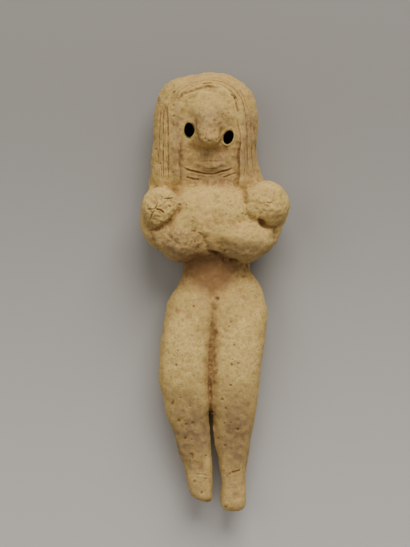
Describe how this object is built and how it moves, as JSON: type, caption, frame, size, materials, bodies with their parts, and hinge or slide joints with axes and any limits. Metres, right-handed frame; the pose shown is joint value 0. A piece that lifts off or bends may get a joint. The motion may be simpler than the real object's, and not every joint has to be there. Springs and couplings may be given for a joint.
{
  "type": "fired clay figurine",
  "caption": "Hand-modelled standing woman in fired clay with a combed hood of hair, punched eyes and folded arms, lying on her back.",
  "frame": {"origin": "under the middle of the figurine as it lies on its back, on the plane that it rests on", "axes": "+Y along the figurine towards the crown of the head, +Z out of its front, +X towards its own left side"},
  "size_m": [0.0408, 0.12, 0.0212],
  "materials": {
    "fired_clay": "matt, low-fired buff earthenware with earth in the grooves"
  },
  "bodies": {
    "root": {"figurine": "fired_clay"}
  },
  "joints": []
}
